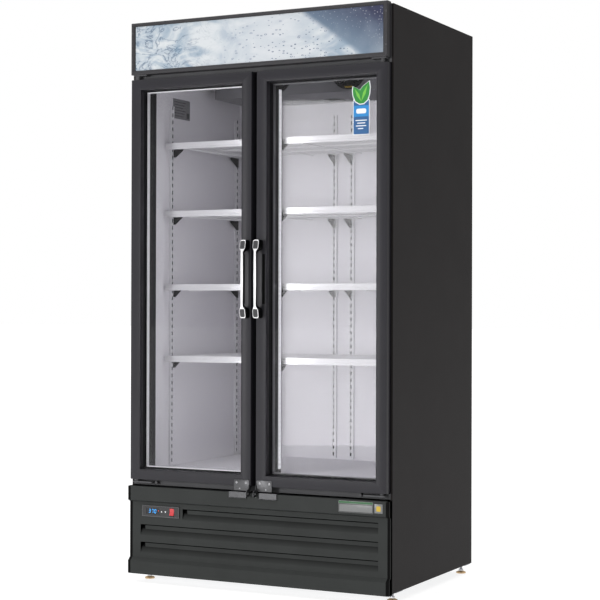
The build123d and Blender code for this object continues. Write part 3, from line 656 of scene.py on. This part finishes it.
# ---- header ---------------------------------------------------------------
def header_trim():
    """Stepped rim around the lit sign."""
    x, z = span("header_box", "x"), span("header_box", "z")
    rim = [(0, 3), (0, -0.5), (1.5, -2), (9.4, -2), (10.4, -1), (10.4, -0.4), (13.2, -0.4), (13.6, 0),
           (13.6, 3)]
    shadow_line = [(13.6, 2.6), (13.6, 0.4), (15.2, 0.4), (15.2, 2.6)]
    piece = Piece("header_trim")
    shape = (1.0, 0.84)
    piece.surround(x, z, rim, HEADER_BLACK, shape)
    piece.surround(x, z, shadow_line, BREAKER_BLACK, shape)
    piece.finish("cabinet", "panel_black")


# ---- doors ----------------------------------------------------------------
def door_frame(side):
    """Aluminium bars with chamfers and a shadow groove, and a rubber lip against the glass."""
    node = side + "_door_frame"
    x, z = span(node, "x"), span(node, "z")
    back = span(node, "y")[1]
    stile, rail = 39.0, 37.0
    shape = (1.0, rail / stile)
    bar = [(0, 3), (0.8, 0.9), (3, 0), (33.2, 0), (33.5, 0.5), (34.1, 0.5), (34.4, 0), (36, 0), (38.2, 0.9),
           (39, 3), (39, 9), (38.3, 9.6), (38.3, 10.6), (39, 11.2), (39, 28.9), (26, 28.9), (26, 52.9),
           (33, 52.9), (33, back), (0, back)]
    lip = [(38.7, 21.6), (39.4, 21.6), (41.4, 27.4), (41.4, 28.9), (38.7, 28.9)]
    piece = Piece(side + "_door_bars")
    piece.surround(x, z, bar, DOOR_BLACK, shape)
    piece.surround(x, z, lip, RUBBER, shape, 0.0)
    piece.finish(side + "_door", "door_black", node)


def door_spacer(side):
    """Glass spacer bar between two strips of dark sealant. The right door's bar is the same aluminium in a
    darker tone, as painted shade where the lamps don't reach it.
    """
    node = side + "_door_spacer"
    x, z = span(node, "x"), span(node, "z")
    front, back = span(node, "y")
    bar = SPACER if side == "left" else SPACER_PAINTED_SHADE
    wall, strip = 12.0, 1.4
    piece = Piece(side + "_door_spacer_bar")
    for y, width, material in (((front, front + strip), wall - 2.5, RUBBER),
                               ((front + strip, back - strip), wall, bar),
                               ((back - strip, back), wall - 1, RUBBER)):
        ring = [(0, y[0]), (width, y[0]), (width, y[1]), (0, y[1])]
        piece.surround(x, z, ring, material, seam=0.05)
    piece.finish(side + "_door", "spacer_aluminium", node)


def door_gasket(side):
    """Bellows gasket with a magnet bulb, in one loop."""
    node = side + "_door_gasket"
    x, z = span(node, "x"), span(node, "z")
    front, back = span(node, "y")
    section = [(2, front), (10, front), (10, front + 0.8), (7, front + 1.4), (7.8, front + 2.2),
               (12, front + 2.6), (12, back - 0.3), (11.4, back), (0.6, back), (0, back - 0.3),
               (0, front + 2.6), (4.2, front + 2.2), (5, front + 1.4), (2, front + 0.8)]
    piece = Piece(side + "_door_bellows")
    piece.surround(x, z, section, RUBBER, seam=0.0)
    piece.finish(side + "_door", "rubber_black", node)


PULL_END = 131.5                # half the height of the door pull
PULL_STRAP = 90                 # where its strap begins to widen into a pad
PULL_PAD = 125                  # where the pad begins to round off


def between(stations, place):
    """Value at a place, on straight lines between stations of (place, value)."""
    for (low, start), (high, end) in zip(stations, stations[1:]):
        if place <= high:
            return start + (end - start) * (place - low) / (high - low)
    return stations[-1][1]


def pull_front(height):
    """Y of the front of the pull at a height above or below its middle."""
    reach = span("left_door_handle_trim", "y")[0]
    return reach + between([(0, 0), (PULL_STRAP, 0), (100, 3), (128, 8), (PULL_END, 10)], abs(height))


def pull_back(height):
    """Y of the back of the pull's dark body, which meets the stile behind its ends."""
    return between([(0, -29), (82, -29), (PULL_STRAP, -24), (98, -8), (101, -0.4)], abs(height))


def pull_width(height):
    """Half width of the pull: a strap that is slimmer near its ends, then a pad."""
    height = abs(height)
    if height < PULL_STRAP:
        return 4.6 - 0.8 * (height / PULL_STRAP) ** 2
    if height > PULL_PAD:
        return 10.6 - 3.6 * ((height - PULL_PAD) / (PULL_END - PULL_PAD)) ** 2
    swell = min(1.0, (height - PULL_STRAP) / 17)
    return 3.8 + 6.8 * swell * swell * (3 - 2 * swell)


def door_pull(side):
    """Bridge pull: bright strap and rims, textured pads, dark posts and a fitted base on the stile."""
    body_node, trim_node = side + "_door_handle", side + "_door_handle_trim"
    middle_x, middle_z = middle_of(trim_node, "x"), middle_of(trim_node, "z")
    sign = 1 if side == "right" else -1
    upper = [*range(89, 126, 2), 127, 129, 130.6, PULL_END]
    heights = [-height for height in reversed(upper)] + list(range(-80, 81, 16)) + upper
    piece = Piece(side + "_door_pull")

    def section(height, wide, outline):
        return [(middle_x + share * wide, y, middle_z + height) for share, y in outline]

    bright, dark = [], []
    for height in heights:
        wide, front, back = pull_width(height), pull_front(height), pull_back(height)
        crown = 0.75 if abs(height) < 100 else 0.4
        bright.append(section(height, wide, [
            (-1, front + 1.8), (-1, front + 0.9), (-0.86, front + crown), (-0.4, front + 0.08), (0, front),
            (0.4, front + 0.08), (0.86, front + crown), (1, front + 0.9), (1, front + 1.8)]))
        front += 1.7
        half = (front + back) / 2
        dark.append(section(height, wide - 0.35, [
            (-1, front), (1, front), (1, half), (1, back), (-1, back), (-1, half)]))
    piece.loft(bright, CHROME)
    piece.loft(dark, END_BLACK)

    for end in (1, -1):
        inset = []
        for height in (101, 103, 106, 109, 113, 118, 123, 125.5, 127.5, 128.6):
            level = end * height
            wide = max(1.6, min(9.7, pull_width(level) - 1.6))
            if height > PULL_PAD:
                wide -= 1.2 * (height - PULL_PAD) / 1.8
            front = pull_front(level)
            inset.append(section(level, wide, [(-1, front + 0.8), (-1, front), (-0.9, front - 0.3),
                                               (0.9, front - 0.3), (1, front), (1, front + 0.8)]))
        piece.loft(inset, GRIP)

    # The base fills most of the stile, with a stadium-shaped pad; beside the strap, on the glass side, a
    # near-black patch is a painted shadow of the strap.
    base = (middle_x - 13, middle_x + 21) if sign > 0 else (middle_x - 21, middle_x + 13)
    piece.plate(base, (middle_z - PULL_END, middle_z + PULL_END), (-0.5, 0.3), DOOR_BLACK, 2.0, edge=0.2)
    stadium = rectangle((middle_x - 8, middle_x + 8), (middle_z - 97, middle_z + 97), 7.9, 8)
    piece.prism("y", stadium, (-0.9, -0.2), HEADER_BLACK, edge=0.2)
    painted_strap_shadow = tuple(sorted((middle_x + sign * 8.4, middle_x + sign * 18.6)))
    piece.plate(painted_strap_shadow, (middle_z - 84, middle_z + 84), (-0.62, -0.4), END_BLACK, 1.0)
    piece.finish(side + "_door", "chrome", body_node, trim_node)


def sticker():
    """Generic leaf sticker on the outer glass of the right door."""
    glass = span("right_door_panes", "y")[0]
    left, right, low = 355.0, 415.0, 1532.0
    piece = Piece("door_sticker")

    def layer(x, z, out, thick, material, round_by=0.0):
        piece.plate(x, z, (glass - out, glass - out + thick), material, round_by)

    layer((left, right), (low, 1648), 0.25, 0.25, PRINT_WHITE, 3.0)
    layer((left + 2, right - 2), (low + 2, 1646), 0.35, 0.15, PRINT_BLUE, 2.0)
    layer((left + 2, right - 2), (1592, 1628), 0.42, 0.12, PRINT_CYAN)
    for row, (start, end) in enumerate(((0.16, 0.84), (0.26, 0.74), (0.18, 0.8), (0.3, 0.62))):
        height = 1578 - row * 9
        bar = (left + (right - left) * start, left + (right - left) * end)
        layer(bar, (height, height + 3), 0.42, 0.12, PRINT_WHITE)
    layer((left + 12, right - 12), (1602, 1618), 0.5, 0.12, PRINT_WHITE, 6.0)

    # A leaf with two points over the panel, with a pale border and two veins.
    leaf = [(0.03, 0.8), (0.2, 0.73), (0.42, 0.62), (0.6, 0.8), (0.95, 1.0), (1.0, 0.72), (0.97, 0.42),
            (0.86, 0.16), (0.64, 0.01), (0.4, 0.0), (0.16, 0.12), (0.03, 0.38), (0.0, 0.6)]
    leaf_left, leaf_low, wide, tall = left - 1, 1634.0, 62.0, 72.0
    for grow, depth, material in ((3.0, 0.35, PRINT_WHITE), (0.0, 0.45, PRINT_GREEN)):
        outline = [(leaf_left + wide / 2 + (across - 0.5) * (wide + grow * 2),
                    leaf_low + tall / 2 + (up - 0.5) * (tall + grow * 2)) for across, up in leaf]
        piece.prism("y", outline, (glass - depth - 0.1, glass - depth + 0.1), material)
    root = Vector((leaf_left + wide * 0.5, leaf_low + tall * 0.1))
    for tip_across, tip_up in ((0.12, 0.7), (0.86, 0.86)):
        tip = Vector((leaf_left + wide * tip_across, leaf_low + tall * tip_up))
        bulge = Vector((root.y - tip.y, tip.x - root.x)).normalized() * 5
        middle = (root + tip) / 2
        outline = [tuple(root), tuple(middle + bulge), tuple(tip), tuple(middle - bulge)]
        piece.prism("y", outline, (glass - 0.65, glass - 0.5), PRINT_LIME)
    piece.finish("right_door", "sign_print")


# ---- hasps and brackets ---------------------------------------------------
def screw_head(piece, x, y, z, radius, height, material, sign=-1):
    """Domed screw head with its cross recess drawn as a flat black cross, as painted shade, on a face whose
    outside lies towards sign.
    """
    profile = [(0.02, 0), (radius, 0), (radius, sign * 0.25 * height), (radius * 0.82, sign * 0.7 * height),
               (radius * 0.45, sign * 0.95 * height), (0.02, sign * height)]
    piece.lathe("y", (x, y, z), profile, material, 20)
    arm, thick = radius * 0.55, radius * 0.13
    top = y + sign * height
    # Painted shade: the recess is a flat black cross on the dome.
    for wide, tall in ((arm, thick), (thick, arm)):
        piece.box((x - wide, x + wide), (top - 0.12, top + 0.12), (z - tall, z + tall), BREAKER_BLACK)


LEAF_FACE = -2.2                # front of the folded steel leaves


def door_hasp(side):
    """Folded door leaf: screwed plate, and an ear with a padlock hole that stands out between the doors."""
    sign = 1 if side == "right" else -1
    piece = Piece(side + "_door_leaf")
    piece.plate(mirrored(sign, 14.5, 72.5), (345, 382), (LEAF_FACE, 0), STEEL, 2.5, edge=0.35)
    ear = [(-0.6, 366), (-0.6, 330), (-5, 326), (-20, 326), (-24, 330), (-24, 342), (-20, 348), (-8, 352),
           (-5, 366)]
    padlock = circle(-14, 337, 4.5, 20)
    piece.prism("x", ear, mirrored(sign, 12.5, 14.6), STEEL, holes=[padlock], edge=0.25)
    for x in (26.5, 62.5):
        screw_head(piece, sign * x, LEAF_FACE, 372, 3.9, 1.6, SCREW_STEEL)
    screw_head(piece, sign * 50, LEAF_FACE, 352, 2.4, 0.9, SCREW_STEEL)
    piece.finish(side + "_door", "steel_plain", side + "_door_hasp")


def hasp_leaves():
    """Cabinet leaves below the doors, each with a lip turned out."""
    piece = Piece("cabinet_leaves")
    x_out, x_in = span("hasp_brackets", "x")[1], 25.0
    for sign in (-1, 1):
        x = mirrored(sign, x_in, x_out)
        piece.plate(x, (319, 340), (LEAF_FACE, 0), STEEL, 1.5, edge=0.3)
        piece.box(x, (-7, -2), (319, 321.2), SCREW_STEEL, 0.4)
        for share in (0.2, 0.8):
            screw_head(piece, x[0] + (x[1] - x[0]) * share, LEAF_FACE, 331, 3.2, 1.3, STEEL)
    piece.finish("cabinet", "steel_plain")


# ---- lower panel and controls ---------------------------------------------
def grille_ends():
    """Near-black caps over both ends of the lower panel: painted shade that stands for the open, shaded ends
    of the panel.
    """
    x, z = span("grille_panel", "x"), span("grille_panel", "z")
    profile = [(27, z[0]), (2, z[0]), (-0.4, z[0] + 2), (-0.4, 75), (13.6, 88), (13.6, 282), (-0.4, 288),
               (-0.4, z[1] - 2), (2, z[1]), (27, z[1])]
    piece = Piece("grille_end_shade")
    cap, chamfer = 10.6, 1.5
    for sign, start, end in ((-1, x[0], x[0] + cap), (1, x[1] - cap, x[1])):
        outer, inner = (chamfer, 0) if sign < 0 else (0, chamfer)
        rings = []
        for at, shrink in ((start, outer), (start + chamfer, 0), (end - chamfer, 0), (end, inner)):
            rings.append([(at, y + (shrink if y < 20 else 0), height) for y, height in profile])
        piece.loft(rings, END_BLACK)
    piece.finish("cabinet", "panel_black")


def louver_lips():
    """Rolled upper lip of each louver, with a thin gap above it."""
    right = 456.0
    piece = Piece("louver_lips")
    for base, left in ((104.5, -441.0), (166.0, -441.0), (228.0, -270.0)):
        lip = [(22.2, base + 19.4), (20.3, base + 33.2), (20.8, base + 33.9), (21.6, base + 33.6),
               (23.4, base + 19.8)]
        piece.prism("x", lip, (left, right), PANEL_BLACK)
    piece.finish("cabinet", "panel_black")


def dust_screen():
    """Dark sheet behind the louvers, with a rod along its top and bottom."""
    piece = Piece("dust_screen")
    low, high, reach, y = 98.0, 300.0, 470.0, 46.0
    piece.box((-reach, reach), (y, y + 1), (low, high), END_BLACK, 0.2)
    for z in (low, high):
        piece.tube([(-reach, y, z), (reach, y, z)], 2.0, END_BLACK)
    piece.finish("cabinet", "panel_black")


def control_marks():
    """Bezel edge, seven-segment digits and a lamp."""
    piece = Piece("control_marks")
    x, z = span("controller_bezel", "x"), span("controller_bezel", "z")
    front = span("controller_bezel", "y")[0]
    edge = [(0, front + 1.5), (0, front - 0.1), (0.4, front - 0.35), (1.3, front - 0.35), (1.6, front + 0.2),
            (1.6, front + 1.5)]
    piece.surround(x, z, edge, BEZEL_LIGHT, seam=0.0)

    show_x, show_z = span("controller_display", "x"), span("controller_display", "z")
    glass = span("controller_display", "y")[0]
    middle = sum(show_z) / 2
    segments = {"top": (0, 1), "middle": (0, 0), "bottom": (0, -1), "upper_left": (-1, 0.5),
                "upper_right": (1, 0.5), "lower_left": (-1, -0.5), "lower_right": (1, -0.5)}
    lit = {"3": ("top", "middle", "bottom", "upper_right", "lower_right"),
           "7": ("top", "upper_right", "lower_right"),
           "0": ("top", "bottom", "upper_left", "upper_right", "lower_left", "lower_right")}
    tall, wide, slant = 6.4, 2.9, 0.6
    print_y = (glass - 0.14, glass + 0.1)
    for digit, at in (("3", show_x[0] + 13), ("7", show_x[0] + 24.5), ("0", show_x[0] + 36)):
        for name in lit[digit]:
            right, up = segments[name]
            centre_x, centre_z = at + right * wide + slant * up, middle + up * tall
            half_x, half_z = (2.2, 0.55) if right == 0 else (0.55, 2.6)
            piece.box((centre_x - half_x, centre_x + half_x), print_y, (centre_z - half_z, centre_z + half_z),
                      DIGIT_BLUE, 0.05)
    piece.box((show_x[1] - 5.6, show_x[1] - 3.8), print_y, (middle + 1, middle + 3), LED_RED, 0.05)
    piece.finish("cabinet", "display_dark")


def key_icons():
    """A triangle on each key, up or down, printed white and made to glow, which is painted light."""
    for node, sign in (("key_up", 1), ("key_down", -1)):
        x, z = middle_of(node, "x"), middle_of(node, "z")
        front = span(node, "y")[0]
        piece = Piece(node + "_icon")
        outline = [(x - 2.8, z - sign * 1.7), (x + 2.8, z - sign * 1.7), (x, z + sign * 2.7)]
        piece.prism("y", outline, (front - 0.12, front + 0.1), ICON_WHITE)
        piece.finish(node, "key_grey")


def name_badge():
    """Blank silver plate with a coloured edge and a plain patch, and a blank data label inside the cavity."""
    piece = Piece("front_badge")
    left, right, low, high = 320.0, 445.0, 295.0, 333.0
    piece.plate((left, right), (low, high), (-1.5, 0), SILVER, 2.5, edge=0.4)
    piece.plate((left + 1.5, right - 1.5), (high - 8, high - 1.2), (-1.65, -1.4), BADGE_GREEN, 1.0)
    line = [(0, -1.4), (0, -1.7), (1.6, -1.7), (1.6, -1.4)]
    piece.surround((left + 1.2, right - 1.2), (low + 1.2, high - 9.5), line, BREAKER_BLACK, seam=0.0)
    piece.plate((right + 4, right + 33), (low + 3, high - 5), (-0.8, 0), SILVER, 1.5, edge=0.2)
    piece.plate((right + 11, right + 26), (low + 9, high - 12), (-0.95, -0.7), BADGE_YELLOW, 3.0)
    piece.finish("cabinet", "badge_silver", "badge_plate")

    label = Piece("data_label")
    wall = span("badge_plate", "x")[0]
    label.prism("x", rectangle((212, 330), (1650, 1722), 2.0), (wall, wall + 0.8), LABEL_GREY, edge=0.15)
    printed = (wall + 0.7, wall + 0.9)
    for row in range(6):
        height = 1712 - row * 10
        bar = rectangle((218, 300 - 9 * (row % 3)), (height - 2.4, height), 0.5)
        label.prism("x", bar, printed, PRINT_GREY)
    label.prism("x", rectangle((306, 324), (1656, 1676), 0.5), printed, PRINT_GREY)
    label.finish("cabinet", "badge_silver")


def panel_screws():
    """Header screws with dark heads, and zinc screws around the rear panels."""
    piece = Piece("panel_screws")
    for x in (-486.42, 486.42):
        for z in (1817.5, 1926.0):
            screw_head(piece, x, -2, z, 3.2, 1.2, STEEL)
    back = span("back_panel", "y")[1]
    for x in (-488.0, 488.0):
        for z in (58, 200, 330, 360, 760, 1160, 1560, 1940):
            screw_head(piece, x, back, z, 4.2, 2.0, SCREW_STEEL, sign=1)
    piece.finish("cabinet", "steel_plain", "outside_screws")


# ---- shelves --------------------------------------------------------------
def shelf_row(number):
    """A pair of wire shelves: close wires, cross rods, an outer rod and a folded front band."""
    node = "shelf_row_%d" % number
    z = span(node, "z")[1] - 2
    front, back = span(node, "y")
    outer = span(node, "x")[1]
    inner = 5.0
    piece = Piece("wire_shelves_%d" % number)
    band = [(0.7, 2), (0, 1.3), (0, -9), (1.1, -10.5), (1.1, -13.5), (0, -15), (0, -19.3), (0.7, -20),
            (11, -20), (11, -18.8), (2.2, -18.8), (2.2, 0.8), (9, 0.8), (9, 2)]
    band = [(front + back_by, z + up_by) for back_by, up_by in band]
    wire, rod, rim = 1.75, 2.6, 3.0
    count, margin = 24, 9
    for sign in (-1, 1):
        x = mirrored(sign, inner, outer)
        piece.prism("x", band, x, WIRE_WHITE)
        for step in range(count):
            at = x[0] + margin + (x[1] - x[0] - 2 * margin) * step / (count - 1)
            piece.tube([(at, front + 4, z - wire), (at, back - 3, z - wire)], wire, WIRE_WHITE)
        for at in (front + 14, front + 120, front + 250, front + 385, back - 12):
            piece.tube([(x[0] + 3, at, z - 5.9), (x[1] - 3, at, z - 5.9)], rod, WIRE_WHITE)
        loop = [(x[0] + 3, front + 8), (x[0] + 3, back - 8), (x[0] + 8, back - 3), (x[1] - 8, back - 3),
                (x[1] - 3, back - 8), (x[1] - 3, front + 8)]
        piece.tube([(at_x, at_y, z - 3.6) for at_x, at_y in loop], rim, WIRE_WHITE)
        for share in (0.22, 0.78):
            at = x[0] + (x[1] - x[0]) * share
            piece.tube([(at, front + 12, z - 21), (at, back - 40, z - 12)], rod, WIRE_WHITE)
    piece.finish("cabinet", "wire_white", node)


def shelf_brackets():
    """Black brackets under the corners of each shelf: a deep plate and a foot at each strip."""
    reach, thick, drop = 64.0, 1.2, 34.0
    outer = span("shelf_clips", "x")[1] - thick
    piece = Piece("shelf_brackets")
    for number in (1, 2, 3, 4):
        top = span("shelf_row_%d" % number, "z")[1] - 11.3
        stations = [(outer, 204.0, 1), (outer, 682.0, -1), (34.0, 133.0, 1), (34.0, 702.0, -1)]
        for x, root, way in stations:
            tip, heel, low = root + way * reach, root + way * 12, top - drop
            plate = [(root, top), (tip, top), (tip, top - 4), (heel, low), (root, low)]
            foot_y = tuple(sorted((root + way * 2, tip - way * 4)))
            foot_z = (top - 1.4, top + 0.2)
            for sign in (-1, 1):
                piece.prism("x", plate, mirrored(sign, x - thick, x + thick), BLACK_PLASTIC, edge=0.3)
                piece.box(mirrored(sign, x - 5, x + thick), foot_y, foot_z, BLACK_PLASTIC, 0.2)
    piece.finish("cabinet", "black_plastic", "shelf_clips")


# ---- fans and feet --------------------------------------------------------
GUARD_RADIUS = 66


def fan_guard(side):
    """Wire guard and its frame over an evaporator fan: rings on eight spokes, and two clips."""
    node = "evaporator_fan_" + side
    x, z = middle_of(node, "x"), middle_of(node, "z")
    cover = span("evaporator_cover", "y")[0]
    front = cover - 4
    piece = Piece("fan_guard_" + side)
    for share in (0.22, 0.4, 0.58, 0.76, 0.94):
        ring = [(at_x, front, at_z) for at_x, at_z in circle(x, z, GUARD_RADIUS * share, 48)]
        piece.tube(ring, 0.9, BLACK_PLASTIC, 6, closed=True)
    for step in range(8):
        turn = math.pi * (step + 0.5) / 4
        ends = (GUARD_RADIUS * 0.2, GUARD_RADIUS * 1.06)
        spoke = [(x + at * math.cos(turn), front + 1.6, z + at * math.sin(turn)) for at in ends]
        piece.tube(spoke, 1.1, BLACK_PLASTIC, 6)
    rim = [(58, cover - 5.5), (68.5, cover - 5.5), (70.5, cover - 3), (70.5, cover - 0.1), (65, cover - 0.1),
           (60, cover - 2.5)]
    piece.lathe("y", (x, 0, z), rim, BLACK_PLASTIC, 48)
    for sign in (-1, 1):
        clip_z = z + sign * 62
        piece.box((x - 14, x + 14), (cover - 6.2, cover - 5.2), (clip_z - 3, clip_z + 3), BADGE_YELLOW, 0.3)
    piece.finish("cabinet", "black_plastic")


def levelling_foot(node):
    """Brass disc, zinc hexagon and a threaded stem."""
    x, y = middle_of(node, "x"), middle_of(node, "y")
    top = span(node, "z")[1]
    piece = Piece(node + "_screw")
    disc = [(0.02, 0), (16.6, 0), (17.8, 1), (17.8, 4.2), (16.8, 5), (8.5, 8.6), (8, 9), (0.02, 9)]
    piece.lathe("z", (x, y, 0), disc, BRASS, 40)
    piece.prism("z", circle(x, y, 9.4, 6), (8.8, 15), SCREW_STEEL, edge=0.6)
    stem, pitch, at = 5.0, 1.5, 15.0
    thread = [(0.02, 14.5), (stem - 0.8, 14.5)]
    while at + pitch < top - 1.5:
        thread += [(stem - 0.9, at), (stem - 0.05, at + pitch / 2)]
        at += pitch
    thread += [(stem - 0.9, at), (stem - 1.2, top - 0.4), (stem - 2, top), (0.02, top)]
    piece.lathe("z", (x, y, 0), thread, SCREW_STEEL, 20)
    piece.finish(node, "foot_brass", node, smooth=25)


header_trim()
for side in ("left", "right"):
    door_frame(side)
    door_spacer(side)
    door_gasket(side)
    door_pull(side)
    door_hasp(side)
hasp_leaves()
sticker()
grille_ends()
louver_lips()
dust_screen()
control_marks()
key_icons()
name_badge()
panel_screws()
for number in (1, 2, 3, 4):
    shelf_row(number)
shelf_brackets()
for side in ("left", "right"):
    fan_guard(side)
for place in ("front_left", "front_right", "rear_left", "rear_right"):
    levelling_foot("foot_" + place)


# ---- lamps inside ---------------------------------------------------------
def lamp_light():
    """Light from the lamp bars on the post, thrown sideways into both halves of the cavity."""
    low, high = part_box("mullion_post")
    y = low.y + 11 * MM
    middle_z = (low.z + high.z) / 2
    for side, sign in (("left", -1), ("right", 1)):
        x = sign * (high.x + 9 * MM)
        light = area_light("lamp_glow_" + side, (x, y, middle_z), (x + sign, y + 0.2, middle_z),
                           (12 * MM, (high.z - low.z) * 0.95), LAMP_POWER)
        light.visible_camera = False
        light.visible_glossy = False


lamp_light()


# ---- carried-over nodes ---------------------------------------------------
slot_material = {"cabinet_black": "side_black", "key_grey": "grey_plastic", "pan_grey": "grey_plastic"}
# The insulation foam gets the side panels' black, so that where it shows in the seams it reads as a shadow
# line: painted shade.
node_material = {
    "header_box": HEADER_BLACK, "mullion_post": BREAKER_BLACK, "grille_panel": GRILLE_BLACK,
    "front_frame": FRAME_BLACK, "insulation": SIDE_BLACK, "breaker_frame": BREAKER_BLACK,
    "hinge_brackets": FRAME_BLACK,
}
for part in frame["record"]["subparts"]:
    name = slot_material.get(part["material_slot"], part["material_slot"])
    for slot in frame["nodes"][part["node"]].material_slots:
        slot.material = node_material.get(part["node"], made[name])
